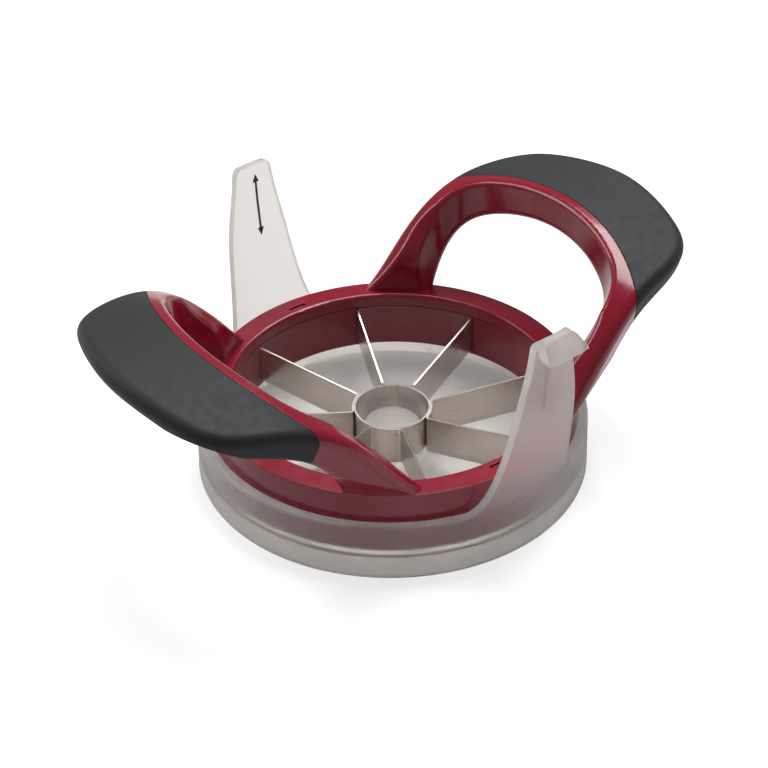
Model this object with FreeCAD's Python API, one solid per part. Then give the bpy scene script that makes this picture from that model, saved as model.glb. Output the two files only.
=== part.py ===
import FreeCAD, Part
import math
import os

# Apple slicer and wedger with a pusher base. Everything is in millimetres, Z is up from the
# underside of the base, and X runs from handle to handle. All pieces are modelled about the
# ring's axis, and saved with the middle of the whole part's box on the Z axis.
V = FreeCAD.Vector
ORIGIN = V(0, 0, 0)
UP = V(0, 0, 1)

# Cutting ring of the moulded frame
opening_radius = 50.3
ring_radius = 58.0
ring_top = 28.2
ring_plate = 2.3
ring_wall = 2.4
lip_wall = 2.2
lip_drop = 4.2
ring_edge_round = 0.9

# Pusher base: a shallow dish that the ring stands in
dish_wall = 3.0
dish_draft = 0.5
rim_height = 18.8
ledge_height = 9.0
ledge_width = 4.2
floor_top = 3.2
floor_wall = 2.4
inner_foot_half = 2.4
inner_foot_lift = 0.6
boss_radius = 8.7
boss_height = 12.0
boss_wall = 2.2
rim_round = 1.2
foot_round = 1.5
ring_side_gap = 0.25
ring_seat_gap = 0.1

# The two uprights that guide the frame
upright_turn = 5.6
upright_wall = 2.4
upright_top = 78.4
upright_flare = 7.6
upright_root_half = 15.5
upright_tip_half = 6.9
upright_root_blend = 8.6
lip_reach = 5.6
lip_half = 7.4
lip_bend = 2.8
lip_slope = 45.0
plain_top_drop = 0.6

# Blades: four bent strips, two radial arms each, around a tube that cuts the core
wedges = 8
blade_thickness = 0.6
blade_height = 12.8
blade_edge_height = 1.2
blade_edge_land = 0.14
blade_top_at_core = 18.5
blade_rise = 0.133
blade_bend = 1.1
slot_end = 0.8
core_bore_radius = 11.5
core_wall = 0.5
core_height = 12.3
core_seam = 0.3
core_seam_angle = 45.0
weld_gap = 0.05

# Clamp ring that holds the blade ends up into the frame
clamp_flange = 2.0
clamp_gap = 0.2
slot_gap = 0.1
hook_width = 5.6
hook_thickness = 1.0
hook_recess = 0.5
window_gap = 0.25

# Handle loops: a flaring leg wall on each side and a broad wing to press on
leg_root_radius = 52.8
leg_flare = 12.2
side_lean = 0.27
hole_half_low = 35.6
hole_half_high = 44.0
hole_reach_low = 60.3
hole_reach_high = 66.6
loop_half_width = 52.6
wing_reach = 95.6
wing_height = 69.5
arch_radius = 162.5
hole_round = 2.0
root_sink = 1.0
loop_edge_round = 3.3

# Soft grips moulded over the outside of the wings
grip_wall = 2.6
seam_reach = 70.0
seam_radius = 91.5
seam_gap = 0.2

rim_inner = ring_radius + ring_side_gap
ring_bottom = ledge_height + ring_seat_gap
lip_bottom = ring_top - lip_drop
hollow_outer = ring_radius - ring_wall
hollow_inner = opening_radius + lip_wall
arch_axis = wing_height - arch_radius
big = 2 * wing_reach


def cosine(angle):
    return math.cos(math.radians(angle))


def sine(angle):
    return math.sin(math.radians(angle))


def polygon(points):
    return Part.makePolygon([*points, points[0]])


def turned(outline, angle=360.0):
    """A solid of revolution about Z from (radius, height) points."""
    face = Part.Face(polygon([V(r, 0, z) for r, z in outline]))
    return face.revolve(ORIGIN, UP, angle)


def curve(points):
    spline = Part.BSplineCurve()
    spline.interpolate(points)
    return spline.toShape()


def closed_face(edges):
    return Part.Face(Part.Wire(edges))


def line(a, b):
    return Part.LineSegment(a, b).toShape()


def chain(points):
    return [line(a, b) for a, b in zip(points, points[1:])]


def mirrored(points):
    """The same points on the other side of Y = 0, in reverse order."""
    return [V(p.x, -p.y, p.z) for p in reversed(points)]


def rounded(solid, radius, wanted):
    """Rounds the edges that the test picks out."""
    edges = [e for e in solid.Edges if wanted(e)]
    return solid.makeFillet(radius, edges)


def rim_edge(radius, height):
    """Picks the circular edge at this radius and height."""
    def wanted(edge):
        box = edge.BoundBox
        flat = abs(box.ZMin - height) < 0.01 and abs(box.ZMax - height) < 0.01
        return flat and abs(box.XMax - radius) < 0.05
    return wanted


def spun(shape, angle):
    copy = shape.copy()
    copy.rotate(ORIGIN, UP, angle)
    return copy


def save(name, shape):
    print(name, "solids", len(shape.Solids), "valid", shape.isValid(), "volume", round(shape.Volume, 1))
    shape.exportStep("parts/" + name + ".step")


# Pusher base

def dish():
    foot = rim_inner + dish_wall + dish_draft
    ledge_inner = rim_inner - ledge_width
    outline = [
        (0, floor_top - floor_wall),
        (ledge_inner - inner_foot_half, floor_top - floor_wall),
        (ledge_inner - inner_foot_half, inner_foot_lift),
        (ledge_inner + inner_foot_half, inner_foot_lift),
        (ledge_inner + inner_foot_half, ledge_height - floor_wall),
        (rim_inner + dish_draft, ledge_height - floor_wall),
        (rim_inner + dish_draft, 0),
        (foot, 0),
        (rim_inner + dish_wall, rim_height),
        (rim_inner, rim_height),
        (rim_inner, ledge_height),
        (ledge_inner, ledge_height),
        (ledge_inner, floor_top),
        (0, floor_top),
    ]
    body = turned(outline)
    body = rounded(body, rim_round, rim_edge(rim_inner + dish_wall, rim_height))
    return rounded(body, foot_round, rim_edge(foot, 0))


def boss():
    outside = Part.makeCone(boss_radius + 0.3, boss_radius, boss_height - floor_top)
    outside.translate(V(0, 0, floor_top))
    inside = Part.makeCylinder(boss_radius - boss_wall, boss_height - boss_wall)
    return outside, inside


def upright_profile(offset):
    """The upright's inner line (offset 0) or outer line, seen from the side."""
    base = rim_inner + offset
    rise = upright_top - lip_bend - rim_height
    shares = [(-0.06, -0.08), (0.16, 0.38), (0.38, 0.68), (0.60, 0.90), (0.82, 0.99), (1, 1)]
    return [V(base + upright_flare * b, 0, rim_height + rise * a) for a, b in shares]


def upright_panel(lipped):
    inner = upright_profile(0)
    outer = upright_profile(upright_wall)
    outer[0] = outer[0] + V(dish_wall - upright_wall - 0.4, 0, 0)
    tip = [inner[-1], outer[-1]]
    if not lipped:
        rise = V(0, 0, lip_bend)
        tip = [inner[-1], inner[-1] + rise, outer[-1] + rise, outer[-1]]
    edges = [curve(inner), *chain(tip), curve(outer), line(outer[0], inner[0])]
    sector = 50.0
    band = closed_face(edges).revolve(ORIGIN, UP, sector)
    band = spun(band, -sector / 2)
    return band.common(upright_front(lipped))


def upright_front(lipped):
    """What is kept of the panel, seen along the radius: a taper with curved feet."""
    low = rim_height - rim_round - 1.0
    fold = upright_top - lip_bend
    foot = V(0, upright_root_half + upright_root_blend, rim_height - rim_round / 2)
    right = [
        foot,
        V(0, upright_root_half + 0.3 * upright_root_blend, rim_height + 0.26 * upright_root_blend),
        V(0, upright_root_half - 0.6, rim_height + upright_root_blend + 1),
        V(0, upright_tip_half + 3.3, fold - 18),
        V(0, upright_tip_half + 0.5, fold - 4),
        V(0, upright_tip_half, fold),
    ]
    top = upright_top - plain_top_drop
    crown = [
        right[-1],
        V(0, upright_tip_half - 0.4, fold + 0.5 * (top - fold)),
        V(0, upright_tip_half - 1.2, fold + 0.88 * (top - fold)),
        V(0, upright_tip_half - 2.8, top),
    ]
    if lipped:
        crown = [right[-1], V(0, upright_tip_half, upright_top + 5)]
    left = mirrored(right)
    roof = [curve(crown), line(crown[-1], mirrored(crown)[0]), curve(mirrored(crown))]
    floor = [left[-1], V(0, -foot.y, low), V(0, foot.y, low), foot]
    edges = [curve(right), *roof, curve(left), *chain(floor)]
    return closed_face(edges).extrude(V(big, 0, 0))


def lip_front(end_height):
    """What is kept of the turned-over lip, seen along the radius, with rounded corners."""
    corner = 2.6
    top = upright_top + 0.1
    crown_half = upright_tip_half - 2.3
    right = [
        V(0, crown_half, top),
        V(0, upright_tip_half - 0.9, top - 1.0),
        V(0, upright_tip_half - 0.1, top - 2.8),
        V(0, lip_half, end_height + corner),
        V(0, lip_half - 0.7, end_height + 0.7),
        V(0, lip_half - corner, end_height - 0.1),
    ]
    left = mirrored(right)
    edges = [curve(right[:3]), line(right[2], right[3]), curve(right[3:])]
    edges += [line(right[-1], left[0]), curve(left[:3]), line(left[2], left[3]), curve(left[3:])]
    edges += [line(left[-1], right[0])]
    return closed_face(edges).extrude(V(big, 0, 0))


def upright_lip():
    """The top of the near upright turns over outwards and slopes down."""
    inner = rim_inner + upright_flare
    centre = V(inner + lip_bend, 0, upright_top - lip_bend)
    across = V(cosine(lip_slope), 0, sine(lip_slope))
    along = V(sine(lip_slope), 0, -cosine(lip_slope))
    start = V(inner, 0, centre.z)
    shoulder = centre + across * lip_bend
    end = shoulder + along * lip_reach
    end_low = end - across * upright_wall
    shoulder_low = centre + across * (lip_bend - upright_wall)
    panel_outer = V(inner + upright_wall, 0, centre.z)
    crest = centre + V(-across.x, 0, across.z) * lip_bend
    edges = [
        Part.Arc(start, crest, shoulder).toShape(),
        *chain([shoulder, end, end_low, shoulder_low, panel_outer, start]),
    ]
    sector = 24.0
    sheet = closed_face(edges).revolve(ORIGIN, UP, sector)
    return spun(sheet, -sector / 2).common(lip_front(end_low.z))


def base_dish():
    outside, inside = boss()
    body = dish().fuse(outside).cut(inside)
    lipped = upright_panel(True).fuse(upright_lip())
    plain = upright_panel(False)
    body = body.fuse(spun(plain, 90 + upright_turn))
    body = body.fuse(spun(lipped, 270 + upright_turn))
    return body.removeSplitter()


# Frame with its two handle loops

def inner_flare():
    """Inner limit of the legs as (radius, height): upright on the ring, then leaning out."""
    steps = [
        (0, -0.10), (0, 0.02), (0.08, 0.22), (0.26, 0.36), (0.49, 0.46),
        (0.74, 0.59), (0.89, 0.70), (0.96, 0.80), (1, 1.12),
    ]
    return [(leg_root_radius + leg_flare * out, rise_at(rise)) for out, rise in steps]


def outer_flare():
    """Outer limit of the leg roots: flush with the ring wall, then leaning outwards."""
    return [
        (ring_radius - 1.6, ring_top - 4),
        (ring_radius, ring_top),
        (ring_radius + 3.6, ring_top + 6),
        (ring_radius + 15.0, ring_top + 18),
        (ring_radius + 55.0, ring_top + 60),
    ]


def inside_of(outline):
    """Everything nearer the axis than this line of (radius, height) points."""
    low, high = V(outline[0][0], 0, outline[0][1]), V(outline[-1][0], 0, outline[-1][1])
    axis_low, axis_high = V(0, 0, low.z), V(0, 0, high.z)
    edges = [curve([V(r, 0, z) for r, z in outline]), *chain([high, axis_high, axis_low, low])]
    return closed_face(edges).revolve(ORIGIN, UP, 360)


def arched(edges):
    """Turns a side view about a level line along X, which crowns it from side to side."""
    face = closed_face(edges)
    pivot = V(0, 0, arch_axis)
    sector = 56.0
    band = face.revolve(pivot, V(1, 0, 0), sector)
    band.rotate(pivot, V(1, 0, 0), -sector / 2)
    return band


def reach_at(share):
    """Distance out along X: 0 is the axis, 1 the ring's wall and 2 the wing's tip."""
    if share < 1:
        return ring_radius * share
    return ring_radius + (wing_reach - ring_radius) * (share - 1)


def rise_at(share):
    """Height: 0 is the ring's top and 1 the top of the wing."""
    return ring_top + (wing_height - ring_top) * share


def top_line(inset):
    """The top of the legs and the wing, seen from the side."""
    shares = [
        (0.345, 0.155, 1.0, 0.0),
        (0.448, 0.259, 0.6, 0.5),
        (0.603, 0.489, 0.6, 0.6),
        (0.750, 0.712, 0.6, 0.8),
        (0.934, 0.901, 0.3, 1.0),
        (1.106, 0.971, 0.0, 1.0),
        (1.319, 1.000, 0.0, 1.0),
        (2.106, 1.048, 0.0, 1.0),
    ]
    return [V(reach_at(a) + out * inset, 0, rise_at(b) - down * inset) for a, b, out, down in shares]


def under_line(inset):
    """The underside of the legs and the wing, seen from the side, from the tip inwards."""
    shares = [
        (2.106, 0.872), (1.532, 0.794), (1.160, 0.702), (0.983, 0.610),
        (0.874, 0.441), (0.764, 0.153), (0.690, -0.077),
    ]
    return [V(reach_at(a), 0, rise_at(b) + inset) for a, b in shares]


def side_band(inset):
    top = top_line(inset)
    under = under_line(inset)
    corner = V(top[0].x, 0, under[-1].z)
    return [curve(top), line(top[-1], under[0]), curve(under), *chain([under[-1], corner, top[0]])]


def loop_wire(height, inset):
    """A loop's outline from above at one height: the sides lean outwards as they rise."""
    shares = [
        (0.310, 1.000, -0.15),
        (0.586, 0.970, 0.19),
        (0.862, 0.916, 0.55),
        (1.133, 0.857, 0.72),
        (1.519, 0.793, 0.79),
        (1.745, 0.688, 0.84),
        (1.872, 0.513, 0.89),
        (1.965, 0.266, 0.94),
    ]
    nose = wing_reach - inset + side_lean * (height - rise_at(shares[-1][2]))
    side = []
    for out, width, widest in shares:
        grow = side_lean * (height - rise_at(widest)) - inset
        turn = max(0.0, (out - shares[3][0]) / (2 - shares[3][0]))
        x = reach_at(out) + grow * turn
        y = loop_half_width * width + grow * (1 - 0.75 * turn ** 2)
        side.append(V(x, y, height))
    left = mirrored(side)
    return Part.Wire([curve([*side, V(nose, 0, height), *left]), line(left[-1], side[0])])


def envelope(inset):
    low, high = rise_at(-0.32), rise_at(1.13)
    prism = Part.makeLoft([loop_wire(low, inset), loop_wire(high, inset)], True, True)
    return arched(side_band(inset)).common(prism)


def hole_wire(height, half, nose):
    """The finger hole's outline at one height: along the legs, round two bends, past the wing."""
    shares = [(0.33, 1), (0.57, 1), (0.72, 0.99), (0.851, 0.87), (0.941, 0.6)]
    right = [V(nose * out, half * width, height) for out, width in shares]
    left = mirrored(right)
    return Part.Wire([curve([*right, V(nose, 0, height), *left]), line(left[-1], right[0])])


def finger_hole():
    """The hole leans outwards as it rises, so its wall can leave the mould."""
    low = hole_wire(rise_at(-0.05), hole_half_low, hole_reach_low)
    high = hole_wire(rise_at(1.01), hole_half_high, hole_reach_high)
    return Part.makeLoft([low, high], True, True)


def seam_region(shift):
    """Everything outside the line where the soft grip starts, seen from above."""
    far = V(big, 0, 0)
    reach = seam_reach + shift
    width = loop_half_width + 6
    setback = seam_radius - math.sqrt(seam_radius ** 2 - width ** 2)
    right = V(reach - setback, width, 0)
    left = V(reach - setback, -width, 0)
    arc = Part.Arc(right, V(reach, 0, 0), left).toShape()
    edges = [arc, *chain([left, left + far, right + far, right])]
    return closed_face(edges).extrude(V(0, 0, big))


def lies_on(edge, shell):
    """True when the whole edge runs along the surface."""
    steps = 6
    first, last = edge.FirstParameter, edge.LastParameter
    points = [edge.valueAt(first + (last - first) * k / steps) for k in range(steps + 1)]
    return all(Part.Vertex(p).distToShape(shell)[0] < 0.05 for p in points)


def rim_edges(body):
    """The long outer edges of a loop, apart from the cut end inside the ring."""
    return [e for e in body.Edges if e.BoundBox.XMax > ring_radius + 2 and e.Length > 15]


def loop():
    """One whole handle loop, grip included, before it is split at the seam."""
    body = envelope(0)
    body = body.makeFillet(loop_edge_round, rim_edges(body))
    flare = spun(inside_of(inner_flare()), 180)
    hole = finger_hole()
    body = body.common(inside_of(outer_flare())).cut(flare).cut(hole)
    root = ring_top - root_sink
    body = body.cut(Part.makeBox(big, big, root, V(0, -big / 2, 0)))
    sharp = [Part.makeShell(flare.Faces), Part.makeShell(hole.Faces)]
    raised = [e for e in body.Edges if e.BoundBox.ZMax > ring_top + root_sink]
    chosen = [e for e in raised if any(lies_on(e, s) for s in sharp)]
    return body.makeFillet(hole_round, chosen)


def split_loop():
    """The hard part of the loop with its core, and the soft grip moulded over the core."""
    whole = loop()
    core = envelope(grip_wall).common(seam_region(-1.0))
    hard = whole.cut(seam_region(0)).fuse(core)
    soft = whole.common(seam_region(seam_gap)).cut(core)
    return hard, soft


# Ring, clamp ring and blades

def ring():
    outline = [
        (opening_radius, lip_bottom),
        (hollow_inner, lip_bottom),
        (hollow_inner, ring_top - ring_plate),
        (hollow_outer, ring_top - ring_plate),
        (hollow_outer, ring_bottom),
        (ring_radius, ring_bottom),
        (ring_radius, ring_top),
        (opening_radius, ring_top),
    ]
    body = turned(outline)
    return rounded(body, ring_edge_round, rim_edge(opening_radius, ring_top))


def window(angle):
    wide = hook_width + 2 * window_gap
    deep = hook_thickness + 2 * window_gap
    cut = Part.makeBox(deep, wide, 20, V(hollow_inner, -wide / 2, ring_top - 12))
    return spun(cut, angle)


def blade_section():
    """Across a blade at the tube: a flat strip whose lower edge is ground to a taper."""
    top = blade_top_at_core
    low = top - blade_height
    half, land = blade_thickness / 2, blade_edge_land / 2
    wrap = core_bore_radius + core_wall + weld_gap + half
    points = [
        V(wrap - half, 0, top),
        V(wrap + half, 0, top),
        V(wrap + half, 0, low + blade_edge_height),
        V(wrap + land, 0, low),
        V(wrap - land, 0, low),
        V(wrap - half, 0, low + blade_edge_height),
    ]
    return Part.Face(polygon(points)), wrap


def blade_strip():
    """One strip: a wrap against the tube, a bend at each end, and two radial arms."""
    section, wrap = blade_section()
    pitch = 180.0 / wedges
    lean = math.degrees(math.asin(blade_bend / (wrap + blade_bend)))
    half_wrap = pitch - lean
    body = spun(section.revolve(ORIGIN, UP, 2 * half_wrap), -half_wrap)
    end = spun(section, half_wrap)
    pivot = spun(Part.Vertex(V(wrap + blade_bend, 0, 0)), half_wrap).Point
    bend = end.revolve(pivot, V(0, 0, -1), 90 - lean)
    start = end.copy()
    start.rotate(pivot, V(0, 0, -1), 90 - lean)
    inner = math.sqrt((wrap + blade_bend) ** 2 - blade_bend ** 2)
    run = hollow_inner - slot_end - inner
    along = V(run, 0, run * blade_rise)
    arm = start.extrude(V(along.x * cosine(pitch), along.x * sine(pitch), along.z))
    side = bend.fuse(arm)
    return body.fuse([side, side.mirror(ORIGIN, V(0, 1, 0))]).removeSplitter()


def core_tube():
    top = blade_top_at_core - 0.1
    outline = [
        (core_bore_radius, top),
        (core_bore_radius, top - core_height),
        (core_bore_radius + blade_edge_land, top - core_height),
        (core_bore_radius + core_wall, top - core_height + blade_edge_height),
        (core_bore_radius + core_wall, top),
    ]
    tube = turned(outline)
    slit = Part.makeBox(core_bore_radius * 2, core_seam, big, V(0, -core_seam / 2, 0))
    return tube.cut(spun(slit, core_seam_angle))


def clamp_ring():
    wall_top = lip_bottom - clamp_gap
    outline = [
        (opening_radius, ring_bottom + clamp_gap),
        (hollow_outer - clamp_gap, ring_bottom + clamp_gap),
        (hollow_outer - clamp_gap, ring_bottom + clamp_gap + clamp_flange),
        (hollow_inner, ring_bottom + clamp_gap + clamp_flange),
        (hollow_inner, wall_top),
        (opening_radius, wall_top),
    ]
    body = turned(outline)
    for side in (90, 270):
        body = body.fuse(spun(hook(), side))
    slot_wide = blade_thickness + 2 * slot_gap
    for k in range(wedges):
        slot = Part.makeBox(hollow_inner, slot_wide, big, V(opening_radius - 5, -slot_wide / 2, 0))
        slot = slot.common(blade_shadow())
        body = body.cut(spun(slot, 180.0 / wedges + k * 360.0 / wedges))
    return body


def blade_shadow():
    """The band of heights that a blade end takes up in the clamp ring, open at the top."""
    reach = hollow_inner - slot_end + slot_gap
    low = blade_top_at_core - blade_height - slot_gap
    wrap = core_bore_radius + core_wall
    points = [
        V(wrap, 0, low),
        V(reach, 0, low + blade_rise * (reach - wrap)),
        V(reach, 0, big),
        V(wrap, 0, big),
    ]
    face = Part.Face(polygon(points))
    return face.extrude(V(0, 4, 0)).fuse(face.extrude(V(0, -4, 0)))


def hook():
    """A snap arm that reaches up through a window in the ring."""
    foot = ring_bottom + clamp_gap
    inner = hollow_inner + window_gap
    corner = V(inner, -hook_width / 2, foot)
    arm = Part.makeBox(hook_thickness, hook_width, ring_top - hook_recess - foot, corner)
    overlap = 0.3
    corner = V(hollow_inner - overlap, -hook_width / 2, foot)
    bridge = Part.makeBox(window_gap + 2 * overlap, hook_width, lip_bottom - clamp_gap - foot, corner)
    return arm.fuse(bridge)


def frame(hard_loop):
    body = ring().fuse([hard_loop, spun(hard_loop, 180)])
    for angle in (90, 270):
        body = body.cut(window(angle))
    return body.removeSplitter()


def box_shift():
    """Half of what the near upright's lip stands out further than the far upright's face."""
    lip = lip_bend * (1 + cosine(lip_slope)) + lip_reach * sine(lip_slope)
    return V(0, (lip - upright_wall) / 2, 0)


def save_all():
    os.makedirs("parts", exist_ok=True)
    hard, soft = split_loop()
    pieces = {
        "base_dish": base_dish(),
        "frame": frame(hard),
        "clamp_ring": clamp_ring(),
        "core_tube": core_tube(),
    }
    for k in range(wedges // 2):
        pieces["blade_strip_%d" % (k + 1)] = spun(blade_strip(), 45 + 90 * k)
    for k in range(2):
        pieces["grip_%d" % (k + 1)] = spun(soft, 180 * k)
    shift = box_shift()
    for name, piece in pieces.items():
        piece.translate(shift)
        save(name, piece)


save_all()
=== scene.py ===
import math

import bpy
from mathutils import Euler, Matrix, Vector


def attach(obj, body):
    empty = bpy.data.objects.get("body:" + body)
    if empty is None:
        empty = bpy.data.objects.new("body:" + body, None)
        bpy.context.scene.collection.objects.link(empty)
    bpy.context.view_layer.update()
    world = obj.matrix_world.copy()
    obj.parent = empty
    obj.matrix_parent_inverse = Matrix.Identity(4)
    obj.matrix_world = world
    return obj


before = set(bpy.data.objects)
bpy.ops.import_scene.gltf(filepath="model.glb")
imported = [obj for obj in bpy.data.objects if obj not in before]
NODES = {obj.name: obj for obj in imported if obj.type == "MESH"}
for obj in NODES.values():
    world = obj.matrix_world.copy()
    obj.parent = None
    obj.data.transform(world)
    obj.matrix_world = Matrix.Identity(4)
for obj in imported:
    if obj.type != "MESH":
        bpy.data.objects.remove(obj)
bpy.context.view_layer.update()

# Lengths are in millimetres, and angles in degrees where a name doesn't say otherwise.

MM = 0.001
RING_Y = 3.17  # the ring's axis stands this far from the frame's origin, along Y

WHITE = "FFFFFF"
NOISE_LOW, NOISE_HIGH = 0.3, 0.7  # nearly all of a noise texture's values lie between these
COLOUR_A, COLOUR_B, COLOUR_RESULT = 6, 7, 2  # the Mix node's colour sockets, whose names repeat
EDGE_SAMPLES = 4


# Nodes

def linear(hex_colour):
    """An sRGB hex colour as linear red, green, blue and a full alpha."""
    parts = [int(hex_colour[i:i + 2], 16) / 255 for i in (0, 2, 4)]
    return [p / 12.92 if p <= 0.04045 else ((p + 0.055) / 1.055) ** 2.4 for p in parts] + [1.0]


def add(tree, kind, values=None, **settings):
    """Adds a node, sets its properties, and fills or links its inputs."""
    node = tree.nodes.new(kind)
    for key, value in settings.items():
        setattr(node, key, value)
    for key, value in (values or {}).items():
        socket = node.inputs[key]
        if isinstance(value, bpy.types.NodeSocket):
            tree.links.new(value, socket)
        else:
            socket.default_value = value
    return node


def bare_tree(thing, output):
    """Empties the node tree of a material or a world, and gives it its output node."""
    thing.use_nodes = True
    tree = thing.node_tree
    tree.nodes.clear()
    return tree, add(tree, output)


def noise(tree, size, detail=2.0, stretch=(1.0, 1.0, 1.0)):
    """Noise in blotches of about this size, finer along an axis whose stretch is above 1."""
    where = add(tree, "ShaderNodeTexCoord").outputs["Object"]
    grained = add(tree, "ShaderNodeMapping", {"Vector": where, "Scale": stretch}).outputs["Vector"]
    values = {"Vector": grained, "Scale": 1 / (size * MM), "Detail": detail}
    return add(tree, "ShaderNodeTexNoise", values).outputs["Fac"]


def finish(name, colours, drift, rough, haze, edge=0.0, reliefs=(), skin=None):
    """A moulded, rolled or printed surface, no part of it quite even.

    Its colour drifts between two colours and its roughness between two values, each with a noise
    of its own. Sharp edges are shaded as if rounded to the edge radius, and each relief is a
    noise with its depth. The skin holds the surface's other settings.
    """
    made = bpy.data.materials.new(name)
    tree, out = bare_tree(made, "ShaderNodeOutputMaterial")
    values = dict(skin or {})
    values["Base Color"] = add(tree, "ShaderNodeMix", {
        "Factor": noise(tree, **drift),
        COLOUR_A: linear(colours[0]),
        COLOUR_B: linear(colours[1]),
    }, data_type="RGBA").outputs[COLOUR_RESULT]
    values["Roughness"] = add(tree, "ShaderNodeMapRange", {
        "Value": noise(tree, **haze),
        "From Min": NOISE_LOW, "From Max": NOISE_HIGH,
        "To Min": rough[0], "To Max": rough[1],
    }).outputs["Result"]
    if edge:
        rounded = add(tree, "ShaderNodeBevel", {"Radius": edge * MM}, samples=EDGE_SAMPLES)
        values["Normal"] = rounded.outputs["Normal"]
    for pattern, depth in reliefs:
        values["Normal"] = add(tree, "ShaderNodeBump", {
            "Height": noise(tree, **pattern), "Distance": depth * MM, "Strength": 1.0,
            "Normal": values["Normal"],
        }).outputs["Normal"]
    surface = add(tree, "ShaderNodeBsdfPrincipled", values)
    tree.links.new(surface.outputs[0], out.inputs["Surface"])
    return made


# Finishes. The real grain of moulded plastic and the real lines of brushed steel are too fine to
# show in the render, so both are drawn coarser, about as coarse as they need to be.

LEVEL_LINES = (0.35, 0.35, 9.0)  # long across and fine upwards, so the brush lines run level

# ABS from a polished mould: a deep gloss, with a slight ripple where the plastic flowed
RED = finish(
    "deep red polished ABS", colours=("860922", "8F0B27"), drift=dict(size=28.0),
    rough=(0.14, 0.22), haze=dict(size=6.0, detail=4.0), edge=0.35,
    reliefs=[(dict(size=9.0, detail=1.0), 0.02), (dict(size=0.5), 0.0012)],
    skin={"Coat Weight": 0.12, "Coat Roughness": 0.05},
)

# Soft-touch TPE moulded over the handles: a powdery matt skin that pales at a glancing view
RUBBER = finish(
    "charcoal soft-touch TPE", colours=("222427", "27292C"), drift=dict(size=30.0),
    rough=(0.56, 0.64), haze=dict(size=3.0, detail=4.0), edge=0.5,
    reliefs=[(dict(size=0.35), 0.006)],
    skin={"Specular IOR Level": 0.3, "Sheen Weight": 0.05, "Sheen Roughness": 0.4},
)

# Undyed polypropylene from a matt mould: milky, light gets through it, and shapes behind it show
# only as a blur. Its IOR is matched to the photograph; the plastic's own is near 1.49.
FROSTED = finish(
    "frosted natural polypropylene", colours=("FDFBF7", "F9F7F2"),
    drift=dict(size=35.0, detail=3.0),
    rough=(0.4, 0.48), haze=dict(size=4.0, detail=3.0), edge=0.4,
    reliefs=[(dict(size=0.4, detail=3.0), 0.008)],
    skin={"Transmission Weight": 0.9, "IOR": 1.33},
)

# Rolled and brushed stainless strip: a warm grey with level lines and drawn-out highlights
STEEL = finish(
    "brushed stainless strip", colours=("C9C1BA", "D4CDC6"), drift=dict(size=11.0),
    rough=(0.27, 0.30), haze=dict(size=2.5, detail=3.0, stretch=LEVEL_LINES), edge=0.12,
    skin={"Metallic": 1.0, "Anisotropic": 0.35},
)

# Pad-printed ink: dark and matt, a little thin in places
INK = finish(
    "dark pad-printed ink", colours=("2B2C27", "3A3B36"), drift=dict(size=1.2, detail=3.0),
    rough=(0.5, 0.65), haze=dict(size=2.0),
)

FINISHES = {
    "base_dish": FROSTED,
    "frame": RED,
    "clamp_ring": RED,
    "core_tube": STEEL,
    "grip_1": RUBBER,
    "grip_2": RUBBER,
    **{"blade_strip_%d" % k: STEEL for k in range(1, 5)},
}


def dress_frame():
    """Gives every CAD piece its finish."""
    for name, finish in FINISHES.items():
        mesh = NODES[name].data
        mesh.materials.clear()
        mesh.materials.append(finish)


# Printed arrows on the inner faces of the two uprights, with the sizes of the CAD's uprights

DISH_INNER = 58.25
DISH_RIM = 18.8
UPRIGHT_TOP = 78.4
LIP_BEND = 2.8
UPRIGHT_FLARE = 7.6
UPRIGHT_RISE = UPRIGHT_TOP - LIP_BEND - DISH_RIM
UPRIGHT_ANGLE = 95.1
# shares of the rise above the rim, each with the share of the flare that the face has by then
FLARE_ROWS = [(0.16, 0.38), (0.38, 0.68), (0.60, 0.90), (0.82, 0.99), (1.0, 1.0)]

ARROWS = 2
ARROW_LOW, ARROW_HIGH = 52.3, 74.4
ARROW_TILT = 0.03  # sideways for each millimetre down
ARROW_TIP_HALF = 0.05
ARROW_HEAD_HALF = 1.25
ARROW_HEAD_LONG = 2.8
ARROW_SHAFT_HALF = 0.42
ARROW_SHAFT_STEPS = 8
ARROW_BARB = 0.01  # height over which the head narrows to the shaft
PRINT_LIFT = 0.06  # the ink stands this far off the face


def face_radius(height):
    """Radius of an upright's inner face at a height, eased like the moulding's flare."""
    share = (height - DISH_RIM) / UPRIGHT_RISE
    for (rise0, flare0), (rise1, flare1) in zip(FLARE_ROWS, FLARE_ROWS[1:]):
        if share <= rise1:
            step = flare0 + (flare1 - flare0) * (share - rise0) / (rise1 - rise0)
            return DISH_INNER + UPRIGHT_FLARE * step
    return DISH_INNER + UPRIGHT_FLARE


def arrow_rows():
    """Heights up a double-headed arrow, each with the arrow's half width there."""
    low, high = ARROW_LOW + ARROW_HEAD_LONG, ARROW_HIGH - ARROW_HEAD_LONG
    shaft = [
        (low + (high - low) * k / ARROW_SHAFT_STEPS, ARROW_SHAFT_HALF)
        for k in range(1, ARROW_SHAFT_STEPS)
    ]
    return [
        (ARROW_LOW, ARROW_TIP_HALF),
        (low, ARROW_HEAD_HALF),
        (low + ARROW_BARB, ARROW_SHAFT_HALF),
        *shaft,
        (high - ARROW_BARB, ARROW_SHAFT_HALF),
        (high, ARROW_HEAD_HALF),
        (ARROW_HIGH, ARROW_TIP_HALF),
    ]


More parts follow.
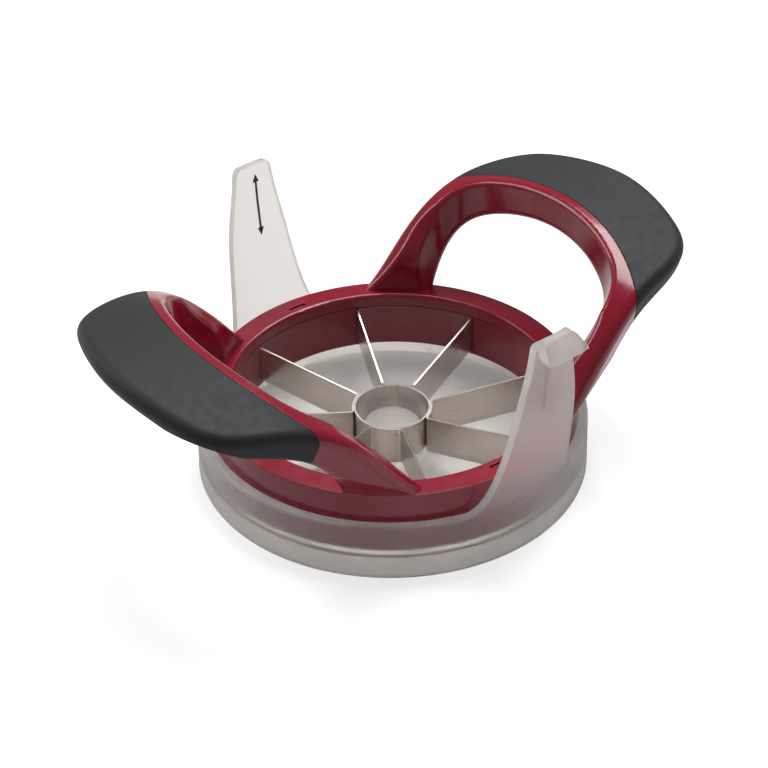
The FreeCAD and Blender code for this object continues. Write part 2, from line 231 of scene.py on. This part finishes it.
def arrow_mesh():
    """One double-headed arrow, bent to the upright's inner face."""
    rows = arrow_rows()
    points = []
    for height, half in rows:
        radius = face_radius(height) - PRINT_LIFT
        shift = ARROW_TILT * (height - ARROW_HIGH)
        for side in (shift - half, shift + half):
            points.append((math.sqrt(radius ** 2 - side ** 2) * MM, side * MM, height * MM))
    faces = [(2 * k, 2 * k + 2, 2 * k + 3, 2 * k + 1) for k in range(len(rows) - 1)]
    mesh = bpy.data.meshes.new("arrow_pattern")
    mesh.from_pydata(points, [], faces)
    return mesh


def arrow_nodes(pattern):
    """Geometry nodes that set the pattern out evenly round the base's axis, in ink."""
    tree = bpy.data.node_groups.new("set out round the axis", "GeometryNodeTree")
    for name, kind in (("Count", "NodeSocketInt"), ("First Angle", "NodeSocketFloat")):
        tree.interface.new_socket(name, in_out="INPUT", socket_type=kind)
    tree.interface.new_socket("Geometry", in_out="OUTPUT", socket_type="NodeSocketGeometry")
    given = add(tree, "NodeGroupInput").outputs
    out = add(tree, "NodeGroupOutput")
    spots = add(tree, "GeometryNodeMeshLine", {"Count": given["Count"], "Offset": (0, 0, 0)})
    index = add(tree, "GeometryNodeInputIndex")
    pitch = add(tree, "ShaderNodeMath", {0: math.tau, 1: given["Count"]}, operation="DIVIDE")
    angle = add(tree, "ShaderNodeMath", {
        0: index.outputs[0], 1: pitch.outputs[0], 2: given["First Angle"],
    }, operation="MULTIPLY_ADD")
    turn = add(tree, "ShaderNodeCombineXYZ", {"Z": angle.outputs[0]})
    source = add(tree, "GeometryNodeObjectInfo", {"Object": pattern})
    copies = add(tree, "GeometryNodeInstanceOnPoints", {
        "Points": spots.outputs[0],
        "Instance": source.outputs["Geometry"],
        "Rotation": turn.outputs[0],
    })
    real = add(tree, "GeometryNodeRealizeInstances", {"Geometry": copies.outputs[0]})
    inked = add(tree, "GeometryNodeSetMaterial", {"Geometry": real.outputs[0], "Material": INK})
    tree.links.new(inked.outputs[0], out.inputs[0])
    return tree


def link(thing):
    """Puts an object into the scene."""
    bpy.context.scene.collection.objects.link(thing)
    return thing


def printed_arrows():
    """Both arrows as one plain mesh on the base, made with the geometry nodes above."""
    pattern = link(bpy.data.objects.new("arrow_pattern", arrow_mesh()))
    holder = link(bpy.data.objects.new("arrow_holder", bpy.data.meshes.new("arrow_holder")))
    modifier = holder.modifiers.new("set out", "NODES")
    tree = arrow_nodes(pattern)
    modifier.node_group = tree
    wanted = {"Count": ARROWS, "First Angle": math.radians(UPRIGHT_ANGLE)}
    for item in tree.interface.items_tree:
        if item.in_out == "INPUT":
            modifier[item.identifier] = wanted[item.name]
    bpy.context.view_layer.update()
    graph = bpy.context.evaluated_depsgraph_get()
    mesh = bpy.data.meshes.new_from_object(holder.evaluated_get(graph))
    mesh.transform(Matrix.Translation((0, RING_Y * MM, 0)))
    prints = link(bpy.data.objects.new("upright_arrows", mesh))
    holder.modifiers.remove(modifier)
    bpy.data.objects.remove(holder)
    bpy.data.objects.remove(pattern)
    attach(prints, "base")


# Studio

CAMERA_PLACE = (-271.18, -381.87 + RING_Y, 353.45)
CAMERA_TURN = (55.113, 0.814, -35.6533)
CAMERA_LENS = 85.895
CAMERA_SENSOR = 36.0

FLOOR_HALF = 3.0  # metres
FLOOR_DROP = 0.1
FLOOR_PAPER = "C8C8C8"

# How bright the floor's glow and the room are: as light on the object, where the camera sees
# them, through the plastic, and in reflections. A strength of 1 is white.
FLOOR_GLOW = (0.0, 0.69, 1.0, 0.25)
ROOM_GLOW = (0.22, 1.0, 1.0, 0.24)
RAYS_SEEN = ("Is Camera Ray", "Is Transmission Ray", "Is Glossy Ray")

# A name, a place, a size and watts for each lamp
LAMPS = [
    ("softbox above", (520, 380, 1350), (1000, 850), 22.5),
    ("softbox behind left", (-450, 600, 500), (350, 450), 2.0),
]
LAMP_AIM = Vector((0, 0, 0.03))  # metres


def camera():
    """The photograph's view: a camera fitted to the circles of the ring, tube and base."""
    data = bpy.data.cameras.new("camera")
    data.lens = CAMERA_LENS
    data.sensor_width = CAMERA_SENSOR
    shown = link(bpy.data.objects.new("camera", data))
    shown.location = [v * MM for v in CAMERA_PLACE]
    shown.rotation_euler = Euler([math.radians(a) for a in CAMERA_TURN], "XYZ")
    bpy.context.scene.camera = shown


def seen_level(tree, unseen, *seen):
    """A brightness for light that isn't seen, and one for each kind of ray that sees it."""
    path = add(tree, "ShaderNodeLightPath").outputs
    level = unseen
    for kind, shown in zip(RAYS_SEEN, seen):
        mixed = add(tree, "ShaderNodeMix", {"Factor": path[kind], "A": level, "B": shown})
        level = mixed.outputs[0]
    return level


def floor():
    """A white sweep just under the part that keeps the part's shadow."""
    mesh = bpy.data.meshes.new("floor")
    h = FLOOR_HALF
    mesh.from_pydata([(-h, -h, 0), (h, -h, 0), (h, h, 0), (-h, h, 0)], [], [(0, 1, 2, 3)])
    made = bpy.data.materials.new("white paper sweep")
    tree, out = bare_tree(made, "ShaderNodeOutputMaterial")
    paper = add(tree, "ShaderNodeBsdfDiffuse", {"Color": linear(FLOOR_PAPER)})
    glow = add(tree, "ShaderNodeEmission", {
        "Color": linear(WHITE), "Strength": seen_level(tree, *FLOOR_GLOW),
    })
    lit = add(tree, "ShaderNodeAddShader", {0: paper.outputs[0], 1: glow.outputs[0]})
    tree.links.new(lit.outputs[0], out.inputs["Surface"])
    mesh.materials.append(made)
    ground = link(bpy.data.objects.new("floor", mesh))
    ground.location.z = -FLOOR_DROP * MM


def room():
    """Plain white walls all round, dim as light on the object and white to the camera."""
    world = bpy.data.worlds.new("room")
    tree, out = bare_tree(world, "ShaderNodeOutputWorld")
    walls = add(tree, "ShaderNodeBackground", {
        "Color": linear(WHITE), "Strength": seen_level(tree, *ROOM_GLOW),
    })
    tree.links.new(walls.outputs[0], out.inputs["Surface"])
    bpy.context.scene.world = world


def lamp(name, place, size, watts):
    """A rectangular softbox that faces the part."""
    data = bpy.data.lights.new(name, "AREA")
    data.shape = "RECTANGLE"
    data.size, data.size_y = size[0] * MM, size[1] * MM
    data.energy = watts
    light = link(bpy.data.objects.new(name, data))
    light.location = [v * MM for v in place]
    aim = LAMP_AIM - light.location
    light.rotation_euler = aim.to_track_quat("-Z", "Y").to_euler()


def studio():
    """The camera, the floor, the room and the lamps."""
    camera()
    floor()
    room()
    for row in LAMPS:
        lamp(*row)
    bpy.context.scene.view_settings.view_transform = "Standard"


dress_frame()
printed_arrows()
studio()
